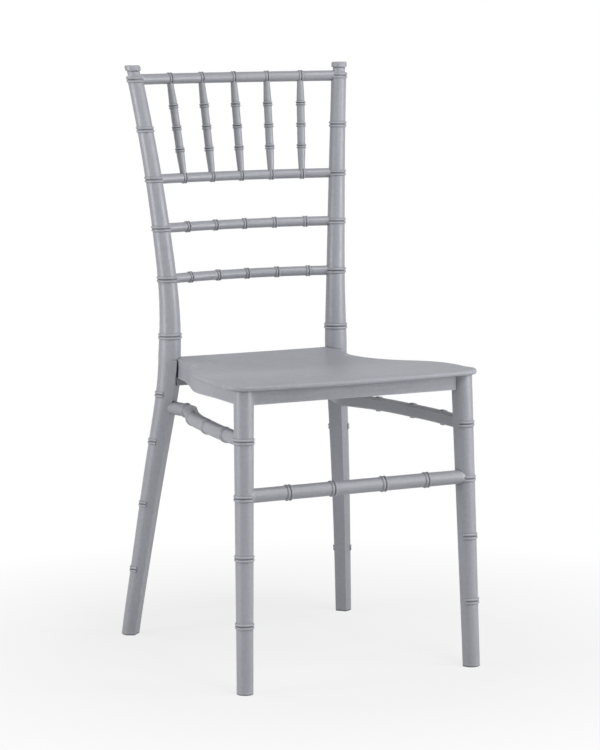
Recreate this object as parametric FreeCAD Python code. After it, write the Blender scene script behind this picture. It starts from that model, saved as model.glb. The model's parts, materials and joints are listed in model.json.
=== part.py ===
import FreeCAD, Part
import math
import os

os.makedirs("parts", exist_ok=True)

# All sizes are in millimetres and all angles in degrees
# X runs across the chair, Y from front to back and Z up
# The origin is on the floor under the middle of the chair
# Left is the -X side, as seen by someone who faces the front of the chair

# Whole chair
CHAIR_HEIGHT = 910.0
FOOT_CENTRE_FRONT = 221.0
FRONT_FOOT_HALF_SPACING = 190.5

# Rear posts, each one long member from the floor to the top of the back
WAIST_HEIGHT = 503.0
WAIST_HALF_SPACING = 145.2
WAIST_BACK = 149.0
WAIST_BEND_RADIUS = 714.0
UPPER_BEND_START = 587.0
UPPER_BEND_RADIUS = 2553.0
LEG_SPLAY = 0.1975
POST_LEAN_TURN = 56.5
POST_SPLIT_HEIGHT = 452.0
LOWER_LEG_SWELL = 2.2
UPPER_POST_GIRTH = [(452.0, 17.7), (490.0, 17.1), (545.0, 15.5), (632.0, 14.2), (715.0, 13.3),
                    (790.0, 12.6), (850.0, 12.3), (900.0, 12.2)]
LOWER_POST_GIRTH = [(0.0, 13.0), (100.0, 13.5), (200.0, 14.4), (300.0, 15.4), (386.0, 16.3),
                    (452.0, 17.7)]

# The inner front of each lower leg is squared off to a narrow flat face
REAR_FLAT_TURN = -45.0
REAR_FLAT_OUT = 0.98
REAR_FLAT_HALF_WIDTH = 0.7
FRONT_FLAT_TURN = 45.0
FRONT_FLAT_OUT = 0.97
FRONT_FLAT_HALF_WIDTH = 0.7

# Double beads that mark the bamboo joints
POST_BEAD_LENGTH = 9.4
POST_BEAD_RISE = 1.8
REAR_LEG_BEAD_SWEEP = 212.0
FRONT_LEG_BEAD_SWEEP = 200.0
RAIL_BEAD_LENGTH = 8.0
RAIL_BEAD_RISE = 1.5
STRETCHER_BEAD_LENGTH = 10.0
STRETCHER_BEAD_RISE = 1.6
SPINDLE_BEAD_LENGTH = 7.2
SPINDLE_BEAD_RISE = 1.6
RING_GROOVE = 0.6
RING_SINK = 0.4
RING_ROOT = 2.0

# Heights of the beads on the rear posts, and of the rails that meet them there
REAR_LEG_BEAD_HEIGHTS = [110.0, 218.0, 320.0, 396.0]
SEAT_BEAD_HEIGHT = 488.0
LOWER_MID_RAIL_HEIGHT = 577.5
UPPER_MID_RAIL_HEIGHT = 656.5
CREST_RAIL_HEIGHT = 733.0
TOP_RAIL_HEIGHT = 888.0

# Back rails, which bow backward between the posts
TOP_RAIL_RADIUS = 8.4
CREST_RAIL_RADIUS = 7.6
UPPER_MID_RAIL_RADIUS = 7.6
LOWER_MID_RAIL_RADIUS = 7.6
TOP_RAIL_BOW = 20.5
CREST_RAIL_BOW = 21.0
UPPER_MID_RAIL_BOW = 21.3
LOWER_MID_RAIL_BOW = 22.1
TOP_BEAD_SPACING = 57.1
LOWER_BEAD_SPACING = 51.6
BEADS_EACH_SIDE = 2

# Spindles between the top rail and the crest rail
SPINDLE_RADIUS = 6.35
SPINDLE_END_RADIUS = 5.1
SPINDLE_TAPER_LENGTH = 28.0
SPINDLE_BEAD_SHARES = [0.28, 0.5, 0.72]
SPINDLE_TENON_RADIUS = 3.2
SPINDLE_TENON_DEPTH = 5.0

# Front legs
FRONT_LEG_LEAN_X = 0.0206
FRONT_LEG_LEAN_Y = 0.0325
FRONT_LEG_GIRTH = [(0.0, 12.4), (62.0, 12.6), (140.0, 13.1), (200.0, 13.5), (270.0, 13.9),
                   (350.0, 14.4), (400.0, 14.7), (449.0, 14.9)]
FRONT_LEG_BEAD_HEIGHTS = [102.0, 202.0, 290.5, 374.0]

# Stretchers
FRONT_STRETCHER_HEIGHT = 293.0
FRONT_STRETCHER_RADIUS = 10.6
FRONT_STRETCHER_FORWARD = 2.0
FRONT_STRETCHER_BEADS = [42.4, 114.8]
SIDE_STRETCHER_HEIGHT = 374.3
SIDE_STRETCHER_RADIUS = 10.5
SIDE_STRETCHER_ROUTE = [(147.0, 156.0), (134.0, 101.0), (163.5, 22.0), (180.0, -105.0), (183.5, -208.0)]
SIDE_STRETCHER_BENDS = [40.0, 300.0, 600.0]
SIDE_STRETCHER_BEAD_SHARES = [0.14, 0.36, 0.6, 0.83]
SIDE_STRETCHER_BEAD_SWEEP = 200.0

# Tenons of the rails and stretchers, and their blind sockets
TENON_SHRINK = 2.6
TOP_RAIL_TENON_SHRINK = 4.4
TENON_DEPTH = 6.5
SOCKET_CLEARANCE = 0.15
SOCKET_END_GAP = 0.5
TENON_ROOT = 6.0

# Finial caps on the posts
CAP_DISC_RADIUS = 12.4
CAP_DISC_HEIGHT = 8.6
CAP_DISC_ROUND = 1.7
CAP_NECK_RADIUS = 9.9
CAP_NECK_HEIGHT = 8.4
CAP_FLARE_HEIGHT = 1.8
CAP_FLARE_RADIUS = 11.6
CAP_STEM_RADIUS = 4.0
CAP_STEM_LENGTH = 22.0

# Push-in foot glides
GLIDE_THICKNESS = 3.0
GLIDE_EDGE = 0.9
GLIDE_STEM_RADIUS = 4.5
GLIDE_STEM_LENGTH = 18.0

# Seat shell: top surface
SEAT_FRONT_HEIGHT = 456.4
SEAT_DIP = 7.8
SEAT_DIP_START = -140.0
SEAT_DIP_END = 60.0
SEAT_REAR_RISE = 7.0
SEAT_EDGE_DISH = 1.2
SEAT_MIDDLE_DISH = 5.0
SEAT_DISH_CENTRE = -35.0
SEAT_DISH_HALF_LENGTH = 200.0
SEAT_SHEET_HALF_WIDTH = 215.0
SEAT_SHEET_HALF_LENGTH = 245.0
SHEET_STEPS = 12
SEAT_FLOOR = 400.0
SEAT_CEILING = 480.0

# Seat shell: outline of the right half, from the rear neck forward
SEAT_REAR = 152.0
SEAT_NECK_HALF_WIDTH = 140.0
SEAT_NECK_FRONT = 104.0
SEAT_SIDE = [(145.3, 80.0), (160.8, 32.0), (170.8, 0.0), (182.0, -40.0), (189.5, -70.0), (197.2, -108.0),
             (202.9, -150.0)]
SEAT_CORNER_START = (203.6, -181.0)
SEAT_CORNER_MIDDLE = (199.6, -216.6)
SEAT_CORNER_END = (177.0, -227.2)
SEAT_FRONT = 232.0
SEAT_EDGE_THICKNESS = 8.0
SEAT_EDGE_ROUND = 3.2

# Seat shell: skirt under the edge
SKIRT_DEPTH = 30.4
SKIRT_WALL = 4.0
SKIRT_LIP = 0.8
SKIRT_REAR = 142.0
SKIRT_FRONT = 212.5
SKIRT_SIDE = [(144.6, 80.0), (160.2, 32.0), (170.2, 0.0), (178.4, -35.0), (184.2, -75.0), (187.2, -120.0)]
SKIRT_FRONT_HALF_WIDTH = 188.4
SEAT_PANEL_THICKNESS = 4.5
REAR_APRON_BOTTOM = 410.0
EAR_INNER = 112.0
EAR_FRONT = 100.0
RIB_THICKNESS = 3.0
RIB_DEPTH = 8.0
RIBS_ALONG = [-110.0, -55.0, 0.0, 55.0, 110.0]
RIBS_ACROSS = [-150.0, -75.0, 0.0, 75.0]
POST_CLEARANCE = 0.2

# Screws that hold the seat
SCREW_RADIUS = 2.3
SCREW_LENGTH = 34.0
SCREW_HEAD_RADIUS = 4.6
SCREW_HEAD_HEIGHT = 3.2
SCREW_HOLE_CLEARANCE = 0.2
REAR_SCREW_HALF_SPACING = 132.5
REAR_SCREW_HEIGHTS = [428.0, 441.0]
CORNER_BLOCK_LENGTH = 26.0
CORNER_BLOCK_HALF_WIDTH = 13.0
CORNER_SCREW_DROP = 17.5
HEAD_POCKET_DEPTH = 9.0
POCKET_OVERRUN = 20.0

# Level planes that trim the legs and posts
POST_TOP = CHAIR_HEIGHT - CAP_DISC_HEIGHT - CAP_NECK_HEIGHT
TRIM_BLOCK = 100.0

UP = FreeCAD.Vector(0, 0, 1)


def point(x, y, z):
    return FreeCAD.Vector(x, y, z)


def turned(direction, axis, angle):
    return FreeCAD.Rotation(axis, angle).multVec(direction)


def plan_direction(side, angle):
    """Level direction at an angle from +X, mirrored for the left side."""
    return point(side * math.cos(math.radians(angle)), math.sin(math.radians(angle)), 0)


def square_to(direction, axis):
    """The part of a direction that is square to an axis, with length 1."""
    rest = direction - axis * direction.dot(axis)
    return rest / rest.Length


def rod(start, end, radius):
    return Part.makeCylinder(radius, (end - start).Length, start, end - start)


def trimming_block(base):
    """Block that stands on a level plane, centred over a point of it."""
    return Part.makeBox(TRIM_BLOCK, TRIM_BLOCK, TRIM_BLOCK, base - point(TRIM_BLOCK / 2, TRIM_BLOCK / 2, 0))


def girth(table, height):
    """Radius at a height, on straight lines between the entries of a girth table."""
    for (low, low_radius), (high, high_radius) in zip(table, table[1:]):
        if height <= high:
            share = (height - low) / (high - low)
            return low_radius + (high_radius - low_radius) * share
    return table[-1][1]


def ring(centre, axis, middle, radius, width, rise, sweep):
    """One raised half-round ring round an axis, its sweep centred on one direction."""
    outward = turned(square_to(middle, axis), axis, -sweep / 2)
    base = radius - RING_SINK

    def at(out, along):
        return centre + outward * out + axis * along

    low_root = at(base - RING_ROOT, -width / 2)
    low = at(base, -width / 2)
    crown = at(radius + rise, 0)
    high = at(base, width / 2)
    high_root = at(base - RING_ROOT, width / 2)
    edges = [
        Part.LineSegment(low_root, low).toShape(),
        Part.Arc(low, crown, high).toShape(),
        Part.LineSegment(high, high_root).toShape(),
        Part.LineSegment(high_root, low_root).toShape(),
    ]
    return Part.Face(Part.Wire(edges)).revolve(centre, axis, sweep)


def ring_layout(bead_length):
    """Width of each ring of a double bead, and how far each lies from its middle."""
    width = (bead_length - RING_GROOVE) / 2
    return width, (width + RING_GROOVE) / 2


def rail_bead(centre, axis, radius, length, rise):
    """Two full rings side by side round a rail."""
    width, offset = ring_layout(length)
    return [ring(centre + axis * shift, axis, UP, radius, width, rise, 360)
            for shift in (-offset, offset)]


def leg_bead(centre_at, radius_at, height, middle, sweep):
    """Two level rings round a leaning leg, each centred on the leg at its own height."""
    width, offset = ring_layout(POST_BEAD_LENGTH)
    rings = []
    for level in (height - offset, height + offset):
        rings.append(ring(centre_at(level), UP, middle, radius_at(level), width, POST_BEAD_RISE, sweep))
    return rings


def squared_section(centre, axis, flat_direction, radius, flat_out, flat_half_width):
    """Round section whose one side runs out along tangents to a narrow flat face."""
    across = square_to(flat_direction, axis)
    along = axis.cross(across)
    flat_out = radius * flat_out
    flat_half_width = radius * flat_half_width
    corner_distance = math.hypot(flat_out, flat_half_width)
    tangent = math.atan2(flat_half_width, flat_out) + math.acos(radius / corner_distance)
    touch_out = radius * math.cos(tangent)
    touch_along = radius * math.sin(tangent)
    first_touch = centre + across * touch_out + along * touch_along
    last_touch = centre + across * touch_out - along * touch_along
    far_side = centre - across * radius
    first_corner = centre + across * flat_out + along * flat_half_width
    last_corner = centre + across * flat_out - along * flat_half_width
    return Part.Wire([
        Part.Arc(first_touch, far_side, last_touch).toShape(),
        Part.LineSegment(last_touch, last_corner).toShape(),
        Part.LineSegment(last_corner, first_corner).toShape(),
        Part.LineSegment(first_corner, first_touch).toShape(),
    ])


def post_lean(height):
    """How far the post stands off its waist at a height, and its slope there."""
    splay_angle = math.atan(LEG_SPLAY)
    straight_top = WAIST_HEIGHT - WAIST_BEND_RADIUS * math.sin(splay_angle)
    if height < straight_top:
        bend_offset = WAIST_BEND_RADIUS * (1 - math.cos(splay_angle))
        return bend_offset + (straight_top - height) * LEG_SPLAY, -LEG_SPLAY
    if height <= UPPER_BEND_START:
        rise = height - WAIST_HEIGHT
        run = math.sqrt(WAIST_BEND_RADIUS ** 2 - rise ** 2)
        return WAIST_BEND_RADIUS - run, rise / run
    start_offset, start_slope = post_lean(UPPER_BEND_START)
    start_angle = math.atan(start_slope)
    rise = height - UPPER_BEND_START + UPPER_BEND_RADIUS * math.sin(start_angle)
    run = math.sqrt(UPPER_BEND_RADIUS ** 2 - rise ** 2)
    return start_offset + UPPER_BEND_RADIUS * math.cos(start_angle) - run, rise / run


def post_centre(side, height):
    offset, slope = post_lean(height)
    half_spacing = WAIST_HALF_SPACING
    if height < POST_SPLIT_HEIGHT:
        half_spacing = half_spacing + LOWER_LEG_SWELL * math.sin(math.pi * height / POST_SPLIT_HEIGHT)
    return point(side * half_spacing, WAIST_BACK, height) + plan_direction(side, POST_LEAN_TURN) * offset


def post_axis(side, height):
    offset, slope = post_lean(height)
    axis = plan_direction(side, POST_LEAN_TURN) * slope + point(0, 0, 1)
    return axis / axis.Length


def post_radius(height):
    table = UPPER_POST_GIRTH if height > POST_SPLIT_HEIGHT else LOWER_POST_GIRTH
    return girth(table, height)


def mirrored_flat(side, angle):
    """Level direction that the flat of a leg faces, towards the middle of the chair."""
    return point(-side * math.cos(math.radians(angle)), math.sin(math.radians(angle)), 0)


def post_body(side, growth):
    """Round upper post and squared lower leg, without beads or sockets."""
    circles = []
    for height, radius in UPPER_POST_GIRTH:
        circle = Part.Circle(post_centre(side, height), post_axis(side, height), radius + growth)
        circles.append(Part.Wire(circle.toShape()))
    sections = []
    for height, radius in LOWER_POST_GIRTH:
        section = squared_section(post_centre(side, height), post_axis(side, height),
                                  mirrored_flat(side, REAR_FLAT_TURN), radius + growth,
                                  REAR_FLAT_OUT, REAR_FLAT_HALF_WIDTH)
        sections.append(section)
    return Part.makeLoft(circles, True, False).fuse(Part.makeLoft(sections, True, False))


def post_shape(side):
    """A rear post with all its beads, before any socket is cut."""
    beads = []
    full_heights = [SEAT_BEAD_HEIGHT, LOWER_MID_RAIL_HEIGHT, UPPER_MID_RAIL_HEIGHT, CREST_RAIL_HEIGHT,
                    (CREST_RAIL_HEIGHT + TOP_RAIL_HEIGHT) / 2, TOP_RAIL_HEIGHT]
    outward = plan_direction(side, POST_LEAN_TURN)

    def centre_at(height):
        return post_centre(side, height)

    for height in full_heights + REAR_LEG_BEAD_HEIGHTS:
        sweep = 360 if height in full_heights else REAR_LEG_BEAD_SWEEP
        beads.extend(leg_bead(centre_at, post_radius, height, outward, sweep))
    post = post_body(side, 0).fuse(beads)
    above = trimming_block(post_centre(side, POST_TOP))
    below = trimming_block(post_centre(side, 0) - point(0, 0, TRIM_BLOCK))
    return post.cut([above, below])


def front_leg_centre(side, height):
    return point(side * (FRONT_FOOT_HALF_SPACING - FRONT_LEG_LEAN_X * height),
                 FRONT_LEG_LEAN_Y * height - FOOT_CENTRE_FRONT, height)


def front_leg_axis(side):
    axis = point(-side * FRONT_LEG_LEAN_X, FRONT_LEG_LEAN_Y, 1)
    return axis / axis.Length


def front_leg_shape(side):
    """A front leg from the floor to the underside of the seat, before any socket is cut."""
    axis = front_leg_axis(side)
    sections = []
    flat = mirrored_flat(side, FRONT_FLAT_TURN)
    for height, radius in FRONT_LEG_GIRTH:
        section = squared_section(front_leg_centre(side, height), axis, flat, radius,
                                  FRONT_FLAT_OUT, FRONT_FLAT_HALF_WIDTH)
        sections.append(section)
    beads = []

    def centre_at(height):
        return front_leg_centre(side, height)

    def radius_at(height):
        return girth(FRONT_LEG_GIRTH, height)

    for height in FRONT_LEG_BEAD_HEIGHTS:
        beads.extend(leg_bead(centre_at, radius_at, height, flat * -1, FRONT_LEG_BEAD_SWEEP))
    below = trimming_block(front_leg_centre(side, 0) - point(0, 0, TRIM_BLOCK))
    return Part.makeLoft(sections, True, False).fuse(beads).cut(below)


class Rail:
    """A level rail that bows backward between the rear posts."""

    def __init__(self, height, radius, bow, bead_spacing, tenon_shrink):
        self.height = height
        self.radius = radius
        self.bead_spacing = bead_spacing
        self.tenon_radius = radius - tenon_shrink
        end = post_centre(1, height)
        self.half_span = end.x
        self.bend = (end.x ** 2 + bow ** 2) / (2 * bow)
        self.bend_centre = point(0, end.y + bow - self.bend, height)
        self.half_angle = math.degrees(math.asin(end.x / self.bend))

    def centre(self, x):
        """Point of the rail's centre line at a distance from the middle of the chair."""
        return self.bend_centre + point(x, math.sqrt(self.bend ** 2 - x ** 2), 0)

    def direction(self, x):
        return UP.cross(self.centre(x) - self.bend_centre) / self.bend * -1

    def body(self):
        left = -self.half_span
        circle = Part.Circle(self.centre(left), self.direction(left), self.radius)
        disc = Part.Face(Part.Wire(circle.toShape()))
        return disc.revolve(self.bend_centre, UP, -2 * self.half_angle)

    def bead_places(self):
        return [self.bead_spacing * step for step in range(-BEADS_EACH_SIDE, BEADS_EACH_SIDE + 1)]

    def beads(self):
        beads = []
        for x in self.bead_places():
            beads.extend(rail_bead(self.centre(x), self.direction(x), self.radius,
                                   RAIL_BEAD_LENGTH, RAIL_BEAD_RISE))
        return beads

    def tenon(self, side, growth, extra):
        """Round tenon on one end, from inside the rail to the bottom of its socket."""
        into_post = self.direction(side * self.half_span) * side
        surface = self.centre(side * self.half_span) - into_post * post_radius(self.height)
        return rod(surface - into_post * TENON_ROOT, surface + into_post * (TENON_DEPTH + extra),
                   self.tenon_radius + growth)


class Profile:
    """Outline drawn point by point with lines and arcs."""

    def __init__(self, start):
        self.here = start
        self.edges = []

    def line_to(self, end):
        self.edges.append(Part.LineSegment(self.here, end).toShape())
        self.here = end

    def arc_to(self, middle, end):
        self.edges.append(Part.Arc(self.here, middle, end).toShape())
        self.here = end


def spindle_ends(top_rail, crest_rail, step):
    """Where a spindle's centre line meets the centre lines of its two rails."""
    return crest_rail.centre(step * LOWER_BEAD_SPACING), top_rail.centre(step * TOP_BEAD_SPACING)


def spindle_body(low, high, low_rail, high_rail):
    """Turned spindle with tapered ends, revolved round its centre line."""
    axis = (high - low) / (high - low).Length
    outward = square_to(point(1, 0, 0), axis)
    length = (high - low).Length
    clear_low = low_rail.radius
    clear_high = length - high_rail.radius

    def at(out, along):
        return low + outward * out + axis * along

    ring_width, ring_offset = ring_layout(SPINDLE_BEAD_LENGTH)
    profile = Profile(at(0, 0))
    profile.line_to(at(SPINDLE_END_RADIUS, 0))
    profile.line_to(at(SPINDLE_END_RADIUS, clear_low))
    profile.line_to(at(SPINDLE_RADIUS, clear_low + SPINDLE_TAPER_LENGTH))
    for share in SPINDLE_BEAD_SHARES:
        for ring_middle in (length * share - ring_offset, length * share + ring_offset):
            profile.line_to(at(SPINDLE_RADIUS, ring_middle - ring_width / 2))
            profile.arc_to(at(SPINDLE_RADIUS + SPINDLE_BEAD_RISE, ring_middle),
                           at(SPINDLE_RADIUS, ring_middle + ring_width / 2))
    profile.line_to(at(SPINDLE_RADIUS, clear_high - SPINDLE_TAPER_LENGTH))
    profile.line_to(at(SPINDLE_END_RADIUS, clear_high))
    profile.line_to(at(SPINDLE_END_RADIUS, length))
    profile.line_to(at(0, length))
    profile.line_to(at(0, 0))
    return Part.Face(Part.Wire(profile.edges)).revolve(low, axis, 360)


def spindle_tenon(low, high, rail_radius, at_top, growth, extra):
    """Small tenon that runs from a spindle into one rail."""
    axis = (high - low) / (high - low).Length
    if at_top:
        surface = high - axis * rail_radius
        return rod(surface - axis * TENON_ROOT, surface + axis * (SPINDLE_TENON_DEPTH + extra),
                   SPINDLE_TENON_RADIUS + growth)
    surface = low + axis * rail_radius
    return rod(surface + axis * TENON_ROOT, surface - axis * (SPINDLE_TENON_DEPTH + extra),
               SPINDLE_TENON_RADIUS + growth)


def front_stretcher_end(side):
    return front_leg_centre(side, FRONT_STRETCHER_HEIGHT) - point(0, FRONT_STRETCHER_FORWARD, 0)


def front_stretcher_shape():
    stretcher = rod(front_stretcher_end(-1), front_stretcher_end(1), FRONT_STRETCHER_RADIUS)
    beads = []
    for side in (-1, 1):
        for distance in FRONT_STRETCHER_BEADS:
            centre = front_stretcher_end(side)
            centre.x = side * distance
            beads.extend(rail_bead(centre, point(1, 0, 0), FRONT_STRETCHER_RADIUS,
                                   STRETCHER_BEAD_LENGTH, STRETCHER_BEAD_RISE))
    return stretcher.fuse(beads)


def front_stretcher_tenon(side, growth, extra):
    outward = point(side, 0, 0)
    surface = front_stretcher_end(side) - outward * girth(FRONT_LEG_GIRTH, FRONT_STRETCHER_HEIGHT)
    return rod(surface - outward * TENON_ROOT, surface + outward * (TENON_DEPTH + extra),
               FRONT_STRETCHER_RADIUS - TENON_SHRINK + growth)


def side_stretcher_path(side):
    """Level route from the rear post to the front leg: straight runs joined by tangent arcs."""
    corners = [point(side * x, y, SIDE_STRETCHER_HEIGHT) for x, y in SIDE_STRETCHER_ROUTE]
    edges = []
    here = corners[0]
    for before, corner, after, radius in zip(corners, corners[1:], corners[2:], SIDE_STRETCHER_BENDS):
        arriving = (corner - before) / (corner - before).Length
        leaving = (after - corner) / (after - corner).Length
        half_turn = arriving.getAngle(leaving) / 2
        setback = radius * math.tan(half_turn)
        bend_start = corner - arriving * setback
        bend_end = corner + leaving * setback
        towards_centre = (leaving - arriving) / (leaving - arriving).Length
        bend_centre = corner + towards_centre * (radius / math.cos(half_turn))
        bend_middle = bend_centre - towards_centre * radius
        edges.append(Part.LineSegment(here, bend_start).toShape())
        edges.append(Part.Arc(bend_start, bend_middle, bend_end).toShape())
        here = bend_end
    edges.append(Part.LineSegment(here, corners[-1]).toShape())
    return Part.Wire(edges)


def path_place(path, share):
    """Point and direction at a share, less than the whole, of a path's length."""
    target = path.Length * share
    for edge in path.OrderedEdges:
        if target < edge.Length:
            break
        target = target - edge.Length
    if edge.Orientation == "Reversed":
        parameter = edge.getParameterByLength(edge.Length - target)
        return edge.valueAt(parameter), edge.tangentAt(parameter) * -1
    parameter = edge.getParameterByLength(target)
    return edge.valueAt(parameter), edge.tangentAt(parameter)


def side_stretcher_shape(side):
    path = side_stretcher_path(side)
    start, direction = path_place(path, 0)
    inward = point(-side, 0, 0)
    section = squared_section(start, direction, inward, SIDE_STRETCHER_RADIUS,
                              FRONT_FLAT_OUT, FRONT_FLAT_HALF_WIDTH)
    stretcher = path.makePipeShell([section], True, True)
    beads = []
    width, offset = ring_layout(STRETCHER_BEAD_LENGTH)
    for share in SIDE_STRETCHER_BEAD_SHARES:
        for shift in (-offset, offset):
            centre, direction = path_place(path, share + shift / path.Length)
            beads.append(ring(centre, direction, inward * -1, SIDE_STRETCHER_RADIUS, width,
                              STRETCHER_BEAD_RISE, SIDE_STRETCHER_BEAD_SWEEP))
    return stretcher.fuse(beads)


def side_stretcher_tenon(side, at_post, growth, extra):
    corners = [point(side * x, y, SIDE_STRETCHER_HEIGHT) for x, y in SIDE_STRETCHER_ROUTE]
    if at_post:
        end, inner, member = corners[0], corners[1], post_radius(SIDE_STRETCHER_HEIGHT)
    else:
        end, inner, member = corners[-1], corners[-2], girth(FRONT_LEG_GIRTH, SIDE_STRETCHER_HEIGHT)
    outward = (end - inner) / (end - inner).Length
    surface = end - outward * member
    return rod(surface - outward * TENON_ROOT, surface + outward * (TENON_DEPTH + extra),
               SIDE_STRETCHER_RADIUS - TENON_SHRINK + growth)


def seat_rim_height(y):
    """Height of the seat's edge at a place from front to back."""
    share = min(max((y - SEAT_DIP_START) / (SEAT_DIP_END - SEAT_DIP_START), 0), 1)
    height = SEAT_FRONT_HEIGHT - SEAT_DIP * (1 - math.cos(math.pi * share)) / 2
    if y > SEAT_DIP_END:
        height = height + SEAT_REAR_RISE * ((y - SEAT_DIP_END) / (SEAT_REAR - SEAT_DIP_END)) ** 2
    return height


def seat_dish(x, y):
    """How far the seat's top lies under the height of its edge."""
    along = (y - SEAT_DISH_CENTRE) / SEAT_DISH_HALF_LENGTH
    fade = math.cos(math.pi / 2 * min(max(along, -1), 1)) ** 2
    depth = SEAT_EDGE_DISH + SEAT_MIDDLE_DISH * fade
    return depth * (1 - (x / SEAT_SHEET_HALF_WIDTH) ** 2)


def seat_sheet(dished):
    """Smooth surface through the seat's top, or through the height of its edge alone."""
    rows = []
    for i in range(SHEET_STEPS + 1):
        y = -SEAT_SHEET_HALF_LENGTH + 2 * SEAT_SHEET_HALF_LENGTH * i / SHEET_STEPS
        row = []
        for j in range(SHEET_STEPS + 1):
            x = -SEAT_SHEET_HALF_WIDTH + 2 * SEAT_SHEET_HALF_WIDTH * j / SHEET_STEPS
            row.append(point(x, y, seat_rim_height(y) - (seat_dish(x, y) if dished else 0)))
        rows.append(row)
    surface = Part.BSplineSurface()
    surface.interpolate(rows)
    return surface.toShape()


def layer(sheet, top_depth, bottom_depth):
    """Solid between two depths under a sheet."""
    upper = sheet.translated(point(0, 0, -top_depth))
    return upper.extrude(point(0, 0, top_depth - bottom_depth))


def upright(outline, low, high):
    return Part.Face(outline.translated(point(0, 0, low))).extrude(point(0, 0, high - low))


def spline(points):
    curve = Part.BSplineCurve()
    curve.interpolate(points)
    return curve.toShape()


def seat_outline():
    """Plan of the seat's edge, drawn at floor level."""
    edges = []
    for side in (-1, 1):
        neck = point(side * SEAT_NECK_HALF_WIDTH, SEAT_NECK_FRONT, 0)
        rear_corner = point(side * SEAT_NECK_HALF_WIDTH, SEAT_REAR, 0)
        corner_start = point(side * SEAT_CORNER_START[0], SEAT_CORNER_START[1], 0)
        corner_middle = point(side * SEAT_CORNER_MIDDLE[0], SEAT_CORNER_MIDDLE[1], 0)
        corner_end = point(side * SEAT_CORNER_END[0], SEAT_CORNER_END[1], 0)
        edges.append(Part.LineSegment(rear_corner, neck).toShape())
        edges.append(spline([neck] + [point(side * x, y, 0) for x, y in SEAT_SIDE] + [corner_start]))
        edges.append(Part.Arc(corner_start, corner_middle, corner_end).toShape())
    left_end = point(-SEAT_CORNER_END[0], SEAT_CORNER_END[1], 0)
    right_end = point(SEAT_CORNER_END[0], SEAT_CORNER_END[1], 0)
    edges.append(Part.Arc(left_end, point(0, -SEAT_FRONT, 0), right_end).toShape())
    edges.append(Part.LineSegment(point(-SEAT_NECK_HALF_WIDTH, SEAT_REAR, 0),
                                  point(SEAT_NECK_HALF_WIDTH, SEAT_REAR, 0)).toShape())
    return Part.Wire(Part.__sortEdges__(edges))


def skirt_outline(inset):
    """Plan of the skirt's face, drawn inward by an inset."""
    neck_x = SEAT_NECK_HALF_WIDTH - SKIRT_LIP - inset
    front = inset - SKIRT_FRONT
    rear = SKIRT_REAR - inset
    edges = []
    for side in (-1, 1):
        neck = point(side * neck_x, SEAT_NECK_FRONT, 0)
        front_corner = point(side * (SKIRT_FRONT_HALF_WIDTH - inset), front, 0)
        side_points = [point(side * (x - inset), y, 0) for x, y in SKIRT_SIDE]
        edges.append(Part.LineSegment(point(side * neck_x, rear, 0), neck).toShape())
        edges.append(spline([neck] + side_points + [front_corner]))
    edges.append(Part.LineSegment(point(inset - SKIRT_FRONT_HALF_WIDTH, front, 0),
                                  point(SKIRT_FRONT_HALF_WIDTH - inset, front, 0)).toShape())
    edges.append(Part.LineSegment(point(-neck_x, rear, 0), point(neck_x, rear, 0)).toShape())
    return Part.Wire(Part.__sortEdges__(edges))


def corner_block(side):
    """Block inside a front corner, flat against the flat of the leg."""
    flat = mirrored_flat(side, FRONT_FLAT_TURN)
    along = UP.cross(flat)
    top_height = SEAT_FRONT_HEIGHT - SEAT_EDGE_THICKNESS / 2
    bottom_height = SEAT_FRONT_HEIGHT - SKIRT_DEPTH
    leg_radius = girth(FRONT_LEG_GIRTH, top_height)
    start = front_leg_centre(side, bottom_height)
    base = Part.makePolygon([
        start - along * CORNER_BLOCK_HALF_WIDTH,
        start + along * CORNER_BLOCK_HALF_WIDTH,
        start + along * CORNER_BLOCK_HALF_WIDTH + flat * (leg_radius + CORNER_BLOCK_LENGTH),
        start - along * CORNER_BLOCK_HALF_WIDTH + flat * (leg_radius + CORNER_BLOCK_LENGTH),
        start - along * CORNER_BLOCK_HALF_WIDTH,
    ])
    return Part.Face(base).extrude(point(0, 0, top_height - bottom_height))


def corner_screw_seat(side):
    """Point under a corner screw's head, and the direction that the screw drives."""
    height = SEAT_FRONT_HEIGHT - CORNER_SCREW_DROP
    flat = mirrored_flat(side, FRONT_FLAT_TURN)
    centre = front_leg_centre(side, height)
    reach = girth(FRONT_LEG_GIRTH, height) + CORNER_BLOCK_LENGTH - HEAD_POCKET_DEPTH
    return centre + flat * reach, flat * -1


def rear_screw_seats(side):
    """Points under the rear screws' heads, and the direction that they drive."""
    seats = []
    for height in REAR_SCREW_HEIGHTS:
        under_head = point(side * REAR_SCREW_HALF_SPACING, EAR_FRONT + HEAD_POCKET_DEPTH, height)
        seats.append((under_head, point(0, 1, 0)))
    return seats


def screw(under_head, drive, growth):
    """Pan head screw: a shank that drives forward from under a low head."""
    shank = rod(under_head - drive * SCREW_HEAD_HEIGHT / 2, under_head + drive * SCREW_LENGTH,
                SCREW_RADIUS + growth)
    head = rod(under_head - drive * SCREW_HEAD_HEIGHT, under_head, SCREW_HEAD_RADIUS + growth)
    return shank.fuse(head)


def screw_way(under_head, drive):
    """Clearance hole and head pocket for one screw in the seat."""
    hole = rod(under_head, under_head + drive * SCREW_LENGTH, SCREW_RADIUS + SCREW_HOLE_CLEARANCE)
    pocket = rod(under_head - drive * (HEAD_POCKET_DEPTH + POCKET_OVERRUN), under_head,
                 SCREW_HEAD_RADIUS + 2 * SCREW_HOLE_CLEARANCE)
    return hole.fuse(pocket)


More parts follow.
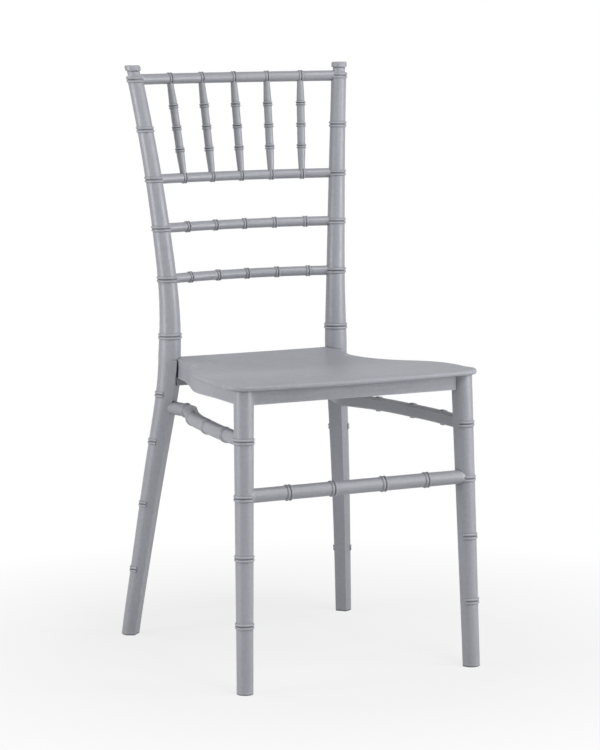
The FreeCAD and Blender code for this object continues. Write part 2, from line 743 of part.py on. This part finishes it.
def rib_grid():
    """Upright walls that cross under the seat, before they are trimmed to it."""
    height = SEAT_CEILING - SEAT_FLOOR
    walls = []
    for x in RIBS_ALONG:
        start = point(x - RIB_THICKNESS / 2, -SEAT_FRONT, SEAT_FLOOR)
        walls.append(Part.makeBox(RIB_THICKNESS, SEAT_FRONT + SEAT_REAR, height, start))
    for y in RIBS_ACROSS:
        start = point(-SEAT_SHEET_HALF_WIDTH, y - RIB_THICKNESS / 2, SEAT_FLOOR)
        walls.append(Part.makeBox(2 * SEAT_SHEET_HALF_WIDTH, RIB_THICKNESS, height, start))
    return walls[0].fuse(walls[1:])


def seat_shape(posts_grown, front_legs):
    """Dished panel with a rounded edge, a skirt, two rear ears, corner blocks and ribs."""
    top = seat_sheet(True)
    rim = seat_sheet(False)
    outline = seat_outline()
    plate = upright(outline, SEAT_FLOOR, SEAT_CEILING).common(layer(top, 0, SEAT_EDGE_THICKNESS))
    plate = plate.cut(posts_grown)
    long_edges = [edge for edge in plate.Edges if is_outer_rim(edge)]
    plate = plate.makeFillet(SEAT_EDGE_ROUND, long_edges)
    inside = upright(skirt_outline(SKIRT_WALL), SEAT_FLOOR, SEAT_CEILING)
    plate = plate.cut(inside.common(layer(top, SEAT_PANEL_THICKNESS, 2 * SEAT_EDGE_THICKNESS)))
    skirt = upright(skirt_outline(0), SEAT_FLOOR, SEAT_CEILING).cut(inside)
    skirt = skirt.common(layer(rim, SEAT_EDGE_THICKNESS / 2, SKIRT_DEPTH))
    additions = [skirt]
    inner_layer = layer(rim, SEAT_EDGE_THICKNESS / 2, SKIRT_DEPTH)
    for side in (-1, 1):
        ear_outer = SEAT_NECK_HALF_WIDTH - SKIRT_LIP - SKIRT_WALL / 2
        ear = Part.makeBox(ear_outer - EAR_INNER, SKIRT_REAR - EAR_FRONT, SEAT_CEILING - SEAT_FLOOR,
                           point(side * (ear_outer + EAR_INNER) / 2 - (ear_outer - EAR_INNER) / 2,
                                 EAR_FRONT, SEAT_FLOOR))
        additions.append(ear.common(inner_layer))
        additions.append(corner_block(side))
    apron_half_width = SEAT_NECK_HALF_WIDTH - SKIRT_LIP
    additions.append(Part.makeBox(2 * apron_half_width, SKIRT_WALL, SEAT_FRONT_HEIGHT - REAR_APRON_BOTTOM
                                  - 2 * SEAT_EDGE_THICKNESS,
                                  point(-apron_half_width, SKIRT_REAR - SKIRT_WALL, REAR_APRON_BOTTOM)))
    rib_layer = layer(top, SEAT_PANEL_THICKNESS / 2, SEAT_PANEL_THICKNESS + RIB_DEPTH)
    additions.append(rib_grid().common(inside).common(rib_layer))
    seat = plate.fuse(additions)
    cuts = list(posts_grown) + list(front_legs)
    for side in (-1, 1):
        for under_head, drive in rear_screw_seats(side) + [corner_screw_seat(side)]:
            cuts.append(screw_way(under_head, drive))
    return seat.cut(cuts)


def is_outer_rim(edge):
    """True for the seat edges that lie on its outline, away from the rear posts."""
    middle = edge.valueAt((edge.FirstParameter + edge.LastParameter) / 2)
    near_post = abs(middle.x) > EAR_INNER and middle.y > SEAT_NECK_FRONT + SEAT_EDGE_ROUND
    runs_up = edge.BoundBox.ZLength > edge.Length / 2
    return not near_post and not runs_up


def cap_level(side, height, radius):
    """Level circle of the cap, centred where the post's curve would carry on to."""
    return Part.Wire(Part.Circle(post_centre(side, height), UP, radius).toShape())


def finial_cap(side):
    """Cap with a level rounded disc, a narrow neck and a stem that plugs into the post."""
    disc_bottom = CHAIR_HEIGHT - CAP_DISC_HEIGHT
    disc = Part.makeLoft([cap_level(side, disc_bottom, CAP_DISC_RADIUS),
                          cap_level(side, CHAIR_HEIGHT, CAP_DISC_RADIUS)], True, True)
    rims = [edge for edge in disc.Edges if edge.BoundBox.ZLength < CAP_DISC_ROUND]
    disc = disc.makeFillet(CAP_DISC_ROUND, rims)
    neck = Part.makeLoft([cap_level(side, POST_TOP, CAP_FLARE_RADIUS),
                          cap_level(side, POST_TOP + CAP_FLARE_HEIGHT, CAP_NECK_RADIUS),
                          cap_level(side, disc_bottom + CAP_DISC_ROUND, CAP_NECK_RADIUS)], True, True)
    return disc.fuse([neck, cap_stem(side, 0, 0)])


def cap_stem(side, growth, extra):
    base = post_centre(side, POST_TOP)
    axis = post_axis(side, POST_TOP)
    return rod(base + axis * CAP_NECK_HEIGHT / 2, base - axis * (CAP_STEM_LENGTH + extra),
               CAP_STEM_RADIUS + growth)


def glide_stem(foot, axis, growth, extra):
    return rod(foot + axis * GLIDE_THICKNESS / 2, foot + axis * (GLIDE_STEM_LENGTH + extra),
               GLIDE_STEM_RADIUS + growth)


def foot_slab(foot):
    """The space below the joint between a leg and its glide."""
    return Part.makeBox(TRIM_BLOCK, TRIM_BLOCK, GLIDE_THICKNESS,
                        foot - point(TRIM_BLOCK / 2, TRIM_BLOCK / 2, 0))


def foot_glide(leg, foot, axis):
    """Glide with the outline of its leg, a bevelled edge and a stem that plugs into the leg."""
    plate = leg.common(foot_slab(foot))
    bottom = [edge for edge in plate.Edges if edge.BoundBox.ZMax < foot.z + GLIDE_THICKNESS / 2]
    plate = plate.makeChamfer(GLIDE_EDGE, bottom)
    return plate.fuse(glide_stem(foot, axis, 0, 0))


def save(name, shape):
    """Write one piece, and say how many solids it has and their volume."""
    solids = shape.Solids
    piece = solids[0] if len(solids) == 1 else Part.makeCompound(solids)
    if not piece.isValid():
        print("not valid:", name)
    piece.exportStep("parts/" + name + ".step")
    print(name, len(solids), "solid", round(piece.Volume), "mm3")


SIDE_NAMES = {-1: "left", 1: "right"}

top_rail = Rail(TOP_RAIL_HEIGHT, TOP_RAIL_RADIUS, TOP_RAIL_BOW, TOP_BEAD_SPACING, TOP_RAIL_TENON_SHRINK)
crest_rail = Rail(CREST_RAIL_HEIGHT, CREST_RAIL_RADIUS, CREST_RAIL_BOW, LOWER_BEAD_SPACING, TENON_SHRINK)
upper_mid_rail = Rail(UPPER_MID_RAIL_HEIGHT, UPPER_MID_RAIL_RADIUS, UPPER_MID_RAIL_BOW,
                      LOWER_BEAD_SPACING, TENON_SHRINK)
lower_mid_rail = Rail(LOWER_MID_RAIL_HEIGHT, LOWER_MID_RAIL_RADIUS, LOWER_MID_RAIL_BOW,
                      LOWER_BEAD_SPACING, TENON_SHRINK)
rails = {"top_rail": top_rail, "crest_rail": crest_rail,
         "upper_mid_rail": upper_mid_rail, "lower_mid_rail": lower_mid_rail}

whole_posts = {side: post_shape(side) for side in SIDE_NAMES}
whole_legs = {side: front_leg_shape(side) for side in SIDE_NAMES}
caps = {side: finial_cap(side) for side in SIDE_NAMES}

# Back rails, scribed to the posts and caps and tenoned into the posts
whole_rails = {}
for name, rail in rails.items():
    shape = rail.body().fuse(rail.beads()).cut(list(whole_posts.values()) + list(caps.values()))
    shape = max(shape.Solids, key=lambda solid: solid.Volume)
    whole_rails[name] = shape.fuse([rail.tenon(side, 0, 0) for side in SIDE_NAMES])

# Spindles, scribed to the top rail and the crest rail and tenoned into them
spindle_steps = range(-BEADS_EACH_SIDE, BEADS_EACH_SIDE + 1)
for number, step in enumerate(spindle_steps, start=1):
    low, high = spindle_ends(top_rail, crest_rail, step)
    spindle = spindle_body(low, high, crest_rail, top_rail)
    spindle = spindle.cut([whole_rails["top_rail"], whole_rails["crest_rail"]])
    spindle = max(spindle.Solids, key=lambda solid: solid.Volume)
    tenons = [spindle_tenon(low, high, top_rail.radius, True, 0, 0),
              spindle_tenon(low, high, crest_rail.radius, False, 0, 0)]
    save("back_spindle_" + str(number), spindle.fuse(tenons))

for name, rail in rails.items():
    sockets = []
    for step in spindle_steps:
        low, high = spindle_ends(top_rail, crest_rail, step)
        if name == "top_rail":
            sockets.append(spindle_tenon(low, high, rail.radius, True, SOCKET_CLEARANCE, SOCKET_END_GAP))
        if name == "crest_rail":
            sockets.append(spindle_tenon(low, high, rail.radius, False, SOCKET_CLEARANCE, SOCKET_END_GAP))
    shape = whole_rails[name]
    save(name, shape.cut(sockets) if sockets else shape)

# Stretchers, scribed to the legs and tenoned into them
stretcher = front_stretcher_shape().cut(list(whole_legs.values()))
stretcher = max(stretcher.Solids, key=lambda solid: solid.Volume)
save("front_stretcher", stretcher.fuse([front_stretcher_tenon(side, 0, 0) for side in SIDE_NAMES]))

seat = seat_shape([post_body(side, POST_CLEARANCE) for side in SIDE_NAMES], list(whole_legs.values()))
save("seat", seat)

for side, side_name in SIDE_NAMES.items():
    post = whole_posts[side]
    leg = whole_legs[side]
    stretcher = side_stretcher_shape(side).cut([post, leg])
    stretcher = max(stretcher.Solids, key=lambda solid: solid.Volume)
    stretcher = stretcher.fuse([side_stretcher_tenon(side, at_post, 0, 0) for at_post in (True, False)])
    save("side_stretcher_" + side_name, stretcher)

    post_foot = post_centre(side, 0)
    leg_foot = front_leg_centre(side, 0)
    save("foot_glide_rear_" + side_name, foot_glide(post, post_foot, post_axis(side, 0)))
    save("foot_glide_front_" + side_name, foot_glide(leg, leg_foot, front_leg_axis(side)))
    save("finial_cap_" + side_name, caps[side])

    post_cuts = [rail.tenon(side, SOCKET_CLEARANCE, SOCKET_END_GAP) for rail in rails.values()]
    post_cuts.append(side_stretcher_tenon(side, True, SOCKET_CLEARANCE, SOCKET_END_GAP))
    post_cuts.append(cap_stem(side, SOCKET_CLEARANCE, SOCKET_END_GAP))
    post_cuts.append(glide_stem(post_foot, post_axis(side, 0), SOCKET_CLEARANCE, SOCKET_END_GAP))
    post_cuts.append(foot_slab(post_foot))
    post_cuts.extend(screw(under_head, drive, 0) for under_head, drive in rear_screw_seats(side))
    save("rear_post_" + side_name, post.cut(post_cuts))

    leg_cuts = [front_stretcher_tenon(side, SOCKET_CLEARANCE, SOCKET_END_GAP),
                side_stretcher_tenon(side, False, SOCKET_CLEARANCE, SOCKET_END_GAP),
                glide_stem(leg_foot, front_leg_axis(side), SOCKET_CLEARANCE, SOCKET_END_GAP),
                foot_slab(leg_foot),
                screw(corner_screw_seat(side)[0], corner_screw_seat(side)[1], 0)]
    save("front_leg_" + side_name, leg.cut(leg_cuts))

rear_seats = rear_screw_seats(-1) + rear_screw_seats(1)
rear_screws = [screw(under_head, drive, 0) for under_head, drive in rear_seats]
save("rear_seat_screws", Part.makeCompound(rear_screws))
front_screws = [screw(*corner_screw_seat(side), 0) for side in SIDE_NAMES]
save("front_leg_screws", Part.makeCompound(front_screws))
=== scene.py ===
# %% [markdown]
# # A moulded chiavari chair
# The chair is one colour of satin plastic all over, so its looks come from three things: clean joinery,
# a plastic that has real grain and depth, and soft light from both sides that draws the round members.
# The construction model already holds every member as a named node. This lesson loads it, dresses each
# node in a procedural plastic, and photographs it.

# %% Load the construction model
import json
import math

import bpy
from mathutils import Matrix, Vector

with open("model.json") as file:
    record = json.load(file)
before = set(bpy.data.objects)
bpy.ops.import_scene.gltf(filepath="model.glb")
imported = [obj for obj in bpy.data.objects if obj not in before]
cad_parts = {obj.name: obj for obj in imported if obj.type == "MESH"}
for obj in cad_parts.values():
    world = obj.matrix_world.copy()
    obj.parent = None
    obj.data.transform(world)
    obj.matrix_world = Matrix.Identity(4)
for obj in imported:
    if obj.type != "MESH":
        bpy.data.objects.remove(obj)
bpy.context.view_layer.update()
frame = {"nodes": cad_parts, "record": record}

print("nodes loaded:", len(frame["nodes"]))

# %% [markdown]
# ## The camera
# A camera can be placed by eye, or solved from points that the photograph and the model share. It is
# solved here: the feet, the rails and the seat corners fix one place, one direction and one lens. The
# camera stands to the left of the chair and a little above its top, and looks down. So the far end of a
# level member comes out higher in the picture, and the front stretcher seems to climb to the right.

# %% Camera solved from the chair's own points
CAMERA_PLACE = Vector((-1.8270, -3.8151, 1.0087))
CAMERA_TURN = math.radians(-25.6994)
CAMERA_PITCH = math.radians(7.7347)
CAMERA_ROLL = math.radians(-0.4075)
FOCAL_LENGTH_PIXELS = 2757.7
PHOTO_HEIGHT_PIXELS = 750
SENSOR_SIZE = 36.0


def make_camera():
    """Camera at the photograph's viewpoint, with its long side upright."""
    data = bpy.data.cameras.new("photo_camera")
    data.sensor_width = SENSOR_SIZE
    data.lens = FOCAL_LENGTH_PIXELS / PHOTO_HEIGHT_PIXELS * SENSOR_SIZE
    camera = bpy.data.objects.new("photo_camera", data)
    bpy.context.scene.collection.objects.link(camera)
    back = Vector((math.sin(CAMERA_TURN) * math.cos(CAMERA_PITCH),
                   -math.cos(CAMERA_TURN) * math.cos(CAMERA_PITCH), math.sin(CAMERA_PITCH)))
    right = Vector((math.cos(CAMERA_TURN), math.sin(CAMERA_TURN), 0))
    up = back.cross(right)
    facing = Matrix((right, up, back)).transposed() @ Matrix.Rotation(CAMERA_ROLL, 3, "Z")
    camera.matrix_world = Matrix.Translation(CAMERA_PLACE) @ facing.to_4x4()
    bpy.context.scene.camera = camera
    return camera


camera = make_camera()
print("lens in mm:", round(camera.data.lens, 2))

# %% [markdown]
# ## Building a material from nodes
# A material is a small graph. A few helpers keep the graphs short: one starts a material, one adds a node
# with its settings, and the rest make a pattern of a given size, stretch it to another range of values,
# lighten and darken a colour by it, or raise the surface by it. Patterns are sized by how many repeats
# fit in a metre, because the object's own coordinates are in metres.

# %% Start a material and add nodes to it
def new_material(name):
    """A material with the usual shader, and its node tree."""
    material = bpy.data.materials.new(name)
    material.use_nodes = True
    return material, material.node_tree, material.node_tree.nodes["Principled BSDF"]


def add_node(tree, kind, **settings):
    """A new node with these settings."""
    node = tree.nodes.new(kind)
    for name, value in settings.items():
        setattr(node, name, value)
    return node


def own_place(tree):
    """Place in the object's own coordinates, in metres."""
    return add_node(tree, "ShaderNodeTexCoord").outputs["Object"]


print("helpers that start a graph ready")

# %% Patterns and what they drive
NOISE_LOW = 0.3
NOISE_HIGH = 0.7
MIX_SHARE = 0
MIX_FIRST_COLOUR = 6
MIX_SECOND_COLOUR = 7
MIX_RESULT = 2


def noise(tree, place, repeats_per_metre, detail=2.0, roughness=0.5):
    """Cloudy pattern from 0 to 1, with about this many spots in a metre."""
    node = add_node(tree, "ShaderNodeTexNoise")
    node.inputs["Scale"].default_value = repeats_per_metre
    node.inputs["Detail"].default_value = detail
    node.inputs["Roughness"].default_value = roughness
    tree.links.new(place, node.inputs["Vector"])
    return node.outputs["Fac"]


def spread(tree, value, low_in, high_in, low_out, high_out):
    """The same pattern, stretched to another range of values."""
    node = add_node(tree, "ShaderNodeMapRange")
    node.inputs["From Min"].default_value = low_in
    node.inputs["From Max"].default_value = high_in
    node.inputs["To Min"].default_value = low_out
    node.inputs["To Max"].default_value = high_out
    tree.links.new(value, node.inputs["Value"])
    return node.outputs["Result"]


def vary(tree, pattern, low, high):
    """Noise, most of which lies from NOISE_LOW to NOISE_HIGH, stretched to reach from low to high."""
    return spread(tree, pattern, NOISE_LOW, NOISE_HIGH, low, high)


def times(tree, first, second):
    """One pattern multiplied by another."""
    node = add_node(tree, "ShaderNodeMath", operation="MULTIPLY")
    tree.links.new(first, node.inputs[0])
    tree.links.new(second, node.inputs[1])
    return node.outputs["Value"]


def tinted(tree, colour, value):
    """A colour made lighter and darker by a pattern. Sockets of a mix node go by number."""
    node = add_node(tree, "ShaderNodeMix", data_type="RGBA", blend_type="MULTIPLY")
    node.inputs[MIX_SHARE].default_value = 1.0
    node.inputs[MIX_FIRST_COLOUR].default_value = (*colour, 1)
    tree.links.new(value, node.inputs[MIX_SECOND_COLOUR])
    return node.outputs[MIX_RESULT]


def bump(tree, height, millimetres, below=None):
    """Raise the surface by a pattern, on top of another bump if one is given."""
    node = add_node(tree, "ShaderNodeBump")
    node.inputs["Distance"].default_value = millimetres / 1000
    tree.links.new(height, node.inputs["Height"])
    if below is not None:
        tree.links.new(below, node.inputs["Normal"])
    return node.outputs["Normal"]


print("helpers for patterns ready")

# %% [markdown]
# ## Painted shade in the grooves and painted highlights on the ridges
# The grooves beside each bead are darkened as painted shade, and the crowns of the beads are lightened as
# painted highlights. Both could be painted by hand, but there are dozens of beads. They come from ambient
# occlusion instead: one node looks outward from the surface for nearby walls, the other looks inward for
# thin ridges, so both stay put from every side.

# %% Grooves and ridges from nearby walls
GROOVE_REACH = 0.0025
RIDGE_REACH = 0.0022
# Darkest painted shade, deep in a groove.
GROOVE_SHADE_DARKEST = 0.30
# Brightest painted highlight, on a thin ridge.
RIDGE_HIGHLIGHT_BRIGHTEST = 1.28


def nearby_walls(tree, reach, inward):
    """1 where no wall lies within reach of a point, and less in a groove, or in a ridge if inward."""
    node = add_node(tree, "ShaderNodeAmbientOcclusion", samples=8, inside=inward)
    node.inputs["Distance"].default_value = reach
    return node.outputs["AO"]


def painted_groove_shade(tree):
    """Painted shade: darker deep in a groove, where shade falls, and 1 in the open."""
    walls = nearby_walls(tree, GROOVE_REACH, inward=False)
    return spread(tree, walls, low_in=0.45, high_in=0.92, low_out=GROOVE_SHADE_DARKEST, high_out=1.0)


def painted_ridge_highlights(tree):
    """Painted highlight: lighter on a thin ridge or rounded edge, where light catches it, and 1 on broad
    faces.
    """
    walls = nearby_walls(tree, RIDGE_REACH, inward=True)
    return spread(tree, walls, low_in=0.35, high_in=0.95, low_out=RIDGE_HIGHLIGHT_BRIGHTEST, high_out=1.0)


print("grooves reach", GROOVE_REACH * 1000, "mm and ridges", RIDGE_REACH * 1000, "mm")

# %% [markdown]
# ## The silver-grey plastic
# The real chair is moulded in a grey plastic with a fine pearl in it. Three sizes of pattern make that:
# slow clouds where the melt cooled unevenly, a mottle of a few millimetres that breaks up the long
# highlights on the legs, and flecks and grain finer than a millimetre that keep the gloss satin. The seat
# also has faint streaks from side to side, where the melt ran across its wide mould: a noise pattern that
# is stretched along the chair's width.

# %% Shade of the plastic
CLOUDS_PER_METRE = 7
MOTTLE_PER_METRE = 260
FLECKS_PER_METRE = 1500
STREAKS_PER_METRE = 220
STREAK_STRETCH = (0.08, 1, 1)


def shade_pattern(tree, place, streaks):
    """Clouds, mottle, flecks, painted groove shade and painted ridge highlights in one pattern round 1,
    with streaks if asked.
    """
    clouds = vary(tree, noise(tree, place, CLOUDS_PER_METRE, detail=3), low=0.95, high=1.05)
    spots = noise(tree, place, MOTTLE_PER_METRE, detail=4, roughness=0.65)
    mottle = vary(tree, spots, low=0.93, high=1.07)
    flecks = noise(tree, place, FLECKS_PER_METRE, detail=1)
    flecks = spread(tree, flecks, low_in=0.35, high_in=0.75, low_out=0.96, high_out=1.08)
    # Painted shade in the grooves darkens the colour here.
    value = times(tree, times(tree, clouds, mottle), times(tree, flecks, painted_groove_shade(tree)))
    # Painted highlights on the bead crowns and rounded edges lighten the colour here.
    value = times(tree, value, painted_ridge_highlights(tree))
    if streaks:
        stretched = add_node(tree, "ShaderNodeMapping")
        stretched.inputs["Scale"].default_value = STREAK_STRETCH
        tree.links.new(place, stretched.inputs["Vector"])
        drawn = noise(tree, stretched.outputs["Vector"], STREAKS_PER_METRE, detail=3, roughness=0.6)
        value = times(tree, value, vary(tree, drawn, low=1 - streaks, high=1 + streaks))
    return value


print("repeats in a metre:", CLOUDS_PER_METRE, MOTTLE_PER_METRE, FLECKS_PER_METRE)

# %% [markdown]
# ## Relief and gloss of the plastic
# A moulded surface is never flat: it has slow waves where it shrank, dimples of a few millimetres, and
# the grain of the mould. All three are under half a millimetre high, too low to change an outline, so
# they are bump and no geometry. The gloss changes a little from patch to patch.

# %% Moulded plastic
WAVES_PER_METRE = 55
WAVE_HEIGHT_MM = 0.35
DIMPLES_PER_METRE = 330
DIMPLE_HEIGHT_MM = 0.15
GLOSS_PATCHES_PER_METRE = 90
GLOSSIER = 0.05
DULLER = 0.06
PLASTIC_IOR = 1.5
PLASTIC_SPECULAR = 0.5


def moulded_relief(tree, place, grain_per_metre, grain_mm):
    """Waves, dimples on the waves, and grain on both."""
    waves = bump(tree, noise(tree, place, WAVES_PER_METRE), WAVE_HEIGHT_MM)
    pits = noise(tree, place, DIMPLES_PER_METRE, detail=3, roughness=0.6)
    dimples = bump(tree, pits, DIMPLE_HEIGHT_MM, waves)
    return bump(tree, noise(tree, place, grain_per_metre), grain_mm, dimples)


def moulded_plastic(name, colour, satin, grain_per_metre, grain_mm, pearl, streaks=0.0):
    """Grey moulded plastic with shade, relief and patches of gloss."""
    material, tree, shader = new_material(name)
    place = own_place(tree)
    shade = shade_pattern(tree, place, streaks)
    tree.links.new(tinted(tree, colour, shade), shader.inputs["Base Color"])
    patches = noise(tree, place, GLOSS_PATCHES_PER_METRE, detail=4, roughness=0.6)
    gloss = vary(tree, patches, low=satin - GLOSSIER, high=satin + DULLER)
    tree.links.new(gloss, shader.inputs["Roughness"])
    shader.inputs["Metallic"].default_value = pearl
    shader.inputs["IOR"].default_value = PLASTIC_IOR
    shader.inputs["Specular IOR Level"].default_value = PLASTIC_SPECULAR
    relief = moulded_relief(tree, place, grain_per_metre, grain_mm)
    tree.links.new(relief, shader.inputs["Normal"])
    return material


print("moulded plastic ready")

# %% [markdown]
# ## Four plastics
# The legs, posts, rails and spindles share one grey. The seat is a little lighter and more matt, with
# coarser grain, because a wide panel shows its mould more. The finial caps match the frame, and the floor
# glides are darker and have no pearl.

# %% The chair's plastics
FRAME_GREY = (0.342, 0.349, 0.383)
SEAT_GREY = (0.349, 0.359, 0.396)
GLIDE_GREY = (0.22, 0.22, 0.235)
FRAME_LOOK = dict(colour=FRAME_GREY, satin=0.42, grain_per_metre=1300, grain_mm=0.05, pearl=0.08)
SEAT_LOOK = dict(colour=SEAT_GREY, satin=0.50, grain_per_metre=1000, grain_mm=0.09, pearl=0.05,
                 streaks=0.05)
GLIDE_LOOK = dict(colour=GLIDE_GREY, satin=0.55, grain_per_metre=900, grain_mm=0.08, pearl=0.0)

FINISHES = {
    "frame_plastic": moulded_plastic("frame_plastic", **FRAME_LOOK),
    "seat_plastic": moulded_plastic("seat_plastic", **SEAT_LOOK),
    "cap_plastic": moulded_plastic("cap_plastic", **FRAME_LOOK),
    "glide_plastic": moulded_plastic("glide_plastic", **GLIDE_LOOK),
}
print("plastics:", len(FINISHES))

# %% [markdown]
# ## The screws
# The screws that hold the seat are small zinc plated steel heads, seen only from below. Zinc has a bluish
# patchy gloss, so the roughness follows a small cell pattern.

# %% Zinc plated steel
ZINC_GREY = (0.56, 0.58, 0.62)
ZINC_CELLS_PER_METRE = 900
ZINC_CLOUDS_PER_METRE = 400
ZINC_GLOSSIEST = 0.22
ZINC_DULLEST = 0.45


def zinc_steel(name):
    """Bright zinc plating with small patches of different gloss."""
    material, tree, shader = new_material(name)
    place = own_place(tree)
    cells = add_node(tree, "ShaderNodeTexVoronoi")
    cells.inputs["Scale"].default_value = ZINC_CELLS_PER_METRE
    tree.links.new(place, cells.inputs["Vector"])
    gloss = spread(tree, cells.outputs["Distance"], 0, 1, ZINC_GLOSSIEST, ZINC_DULLEST)
    tree.links.new(gloss, shader.inputs["Roughness"])
    shade = vary(tree, noise(tree, place, ZINC_CLOUDS_PER_METRE, detail=3), low=0.9, high=1.08)
    tree.links.new(tinted(tree, ZINC_GREY, shade), shader.inputs["Base Color"])
    shader.inputs["Metallic"].default_value = 1.0
    return material


FINISHES["screw_steel"] = zinc_steel("screw_steel")
print("finishes:", sorted(FINISHES))

# %% [markdown]
# ## Dressing the nodes
# Each node of the construction model names the finish that it is made in. Reading that name, and no list
# of nodes written here, keeps the scene right when a piece is added.

# %% Dress every node in its finish
def dress_nodes():
    """Give each node the finish of its material slot, and count the nodes."""
    slot_of = {part["node"]: part["material_slot"] for part in frame["record"]["subparts"]}
    for node_name, node in frame["nodes"].items():
        for place in node.material_slots:
            place.material = FINISHES[slot_of[node_name]]
    return len(slot_of)


print("nodes dressed:", dress_nodes())

# %% [markdown]
# ## Floor and backdrop
# The photograph is a studio cut-out, white all round. The floor curves up into a backdrop behind the
# chair. Both are pale paper: the camera and the reflections see them as white, and near the chair some of
# the real shading is left in, so that its soft shadow stays. The backdrop stands well back, so that a
# camera behind the chair is still in front of it.

# %% Rays that see the background
def seen_ray(tree):
    """1 for rays that the camera, a reflection or clear plastic sends out, and 0 for light."""
    path = add_node(tree, "ShaderNodeLightPath")
    camera_or_gloss = add_node(tree, "ShaderNodeMath", operation="MAXIMUM")
    tree.links.new(path.outputs["Is Camera Ray"], camera_or_gloss.inputs[0])
    tree.links.new(path.outputs["Is Glossy Ray"], camera_or_gloss.inputs[1])
    either = add_node(tree, "ShaderNodeMath", operation="MAXIMUM")
    tree.links.new(camera_or_gloss.outputs[0], either.inputs[0])
    tree.links.new(path.outputs["Is Transmission Ray"], either.inputs[1])
    return either.outputs[0]


print("seen rays ready")

# %% White paper for the floor and backdrop
PAPER_WHITE = 0.65
PAPER_ROUGHNESS = 0.9
SHADOW_CORE = 0.35
SHADOW_REACH = 0.9
SHADOW_SHARE = 0.22


def white_paper():
    """Pale paper, white to the camera and in reflections, with a soft shadow near the chair."""
    material, tree, paper = new_material("studio_paper")
    paper.inputs["Base Color"].default_value = (PAPER_WHITE, PAPER_WHITE, PAPER_WHITE, 1)
    paper.inputs["Roughness"].default_value = PAPER_ROUGHNESS
    glow = add_node(tree, "ShaderNodeEmission")
    away = add_node(tree, "ShaderNodeVectorMath", operation="LENGTH")
    tree.links.new(own_place(tree), away.inputs[0])
    white = spread(tree, away.outputs["Value"], SHADOW_CORE, SHADOW_REACH, 1 - SHADOW_SHARE, 1)
    blend = add_node(tree, "ShaderNodeMixShader")
    tree.links.new(times(tree, seen_ray(tree), white), blend.inputs[0])
    tree.links.new(paper.outputs[0], blend.inputs[1])
    tree.links.new(glow.outputs[0], blend.inputs[2])
    tree.links.new(blend.outputs[0], tree.nodes["Material Output"].inputs["Surface"])
    return material


print("share of real shading under the chair:", SHADOW_SHARE)

# %% Floor that curves up into a backdrop
FLOOR_HALF_WIDTH = 9.0
FLOOR_FRONT = -9.0
WALL_PLACE = 9.0
WALL_CURVE = 1.0
WALL_TOP = 4.0
CURVE_STEPS = 12


def sweep_profile():
    """Places from front to back and their heights, along the middle of the sheet."""
    profile = [(FLOOR_FRONT, 0.0)]
    for step in range(CURVE_STEPS + 1):
        turn = math.pi / 2 * step / CURVE_STEPS
        place = WALL_PLACE - WALL_CURVE + WALL_CURVE * math.sin(turn)
        profile.append((place, WALL_CURVE - WALL_CURVE * math.cos(turn)))
    profile.append((WALL_PLACE, WALL_TOP))
    return profile


def make_sweep():
    """One sheet: flat floor, a quarter-round bend and an upright wall."""
    profile = sweep_profile()
    corners = [(side * FLOOR_HALF_WIDTH, y, z) for y, z in profile for side in (-1, 1)]
    faces = [(2 * i, 2 * i + 1, 2 * i + 3, 2 * i + 2) for i in range(len(profile) - 1)]
    mesh = bpy.data.meshes.new("studio_sweep")
    mesh.from_pydata(corners, [], faces)
    mesh.polygons.foreach_set("use_smooth", [True] * len(faces))
    mesh.materials.append(white_paper())
    sweep = bpy.data.objects.new("studio_sweep", mesh)
    bpy.context.scene.collection.objects.link(sweep)
    return sweep


sweep = make_sweep()
print("sweep faces:", len(sweep.data.polygons))

# %% [markdown]
# ## Lamps
# The photograph has soft light from both sides and from above, and little from where the camera stands,
# so each round member has a darker band down its middle. Four large soft lamps do that: one at the left
# and one at the right front, both about as high as the chair, one high in front, and a weak one high at
# the left rear.

# %% Studio lamps
def soft_box(name, bearing, distance, height, target_height, width, tall, watts):
    """Rectangular lamp at a bearing from the chair's middle, turned to face it."""
    data = bpy.data.lights.new(name, "AREA")
    data.shape = "RECTANGLE"
    data.size = width
    data.size_y = tall
    data.energy = watts
    lamp = bpy.data.objects.new(name, data)
    bpy.context.scene.collection.objects.link(lamp)
    angle = math.radians(bearing)
    lamp.location = (distance * math.cos(angle), distance * math.sin(angle), height)
    aim = Vector((0, 0, target_height)) - lamp.location
    lamp.rotation_euler = aim.to_track_quat("-Z", "Y").to_euler()
    return lamp


lamps = [
    soft_box("lamp_left", bearing=180, distance=2.85, height=0.9,
             target_height=0.45, width=0.9, tall=1.3, watts=40),
    soft_box("lamp_front", bearing=-83, distance=1.85, height=2.9,
             target_height=0.5, width=0.9, tall=1.2, watts=38),
    soft_box("lamp_right", bearing=-44, distance=2.85, height=0.95,
             target_height=0.45, width=1.3, tall=1.3, watts=45),
    soft_box("lamp_back", bearing=140, distance=2.05, height=2.55,
             target_height=0.5, width=0.9, tall=1.2, watts=11),
]
print("lamps:", len(lamps))

# %% [markdown]
# ## World
# A weak even light from all round keeps the shaded sides from going black. Past the edge of the paper the
# camera and the reflections see the world as white, like the paper.

# %% World
WORLD_STRENGTH = 0.12


def pale_world():
    """Even pale surroundings, white where the camera or a reflection sees past the paper."""
    world = bpy.data.worlds.new("studio")
    world.use_nodes = True
    tree = world.node_tree
    background = tree.nodes["Background"]
    background.inputs["Color"].default_value = (1, 1, 1, 1)
    strength = spread(tree, seen_ray(tree), 0, 1, WORLD_STRENGTH, 1)
    tree.links.new(strength, background.inputs["Strength"])
    bpy.context.scene.world = world


pale_world()
bpy.context.scene.view_settings.view_transform = "Standard"
print("world strength:", WORLD_STRENGTH)
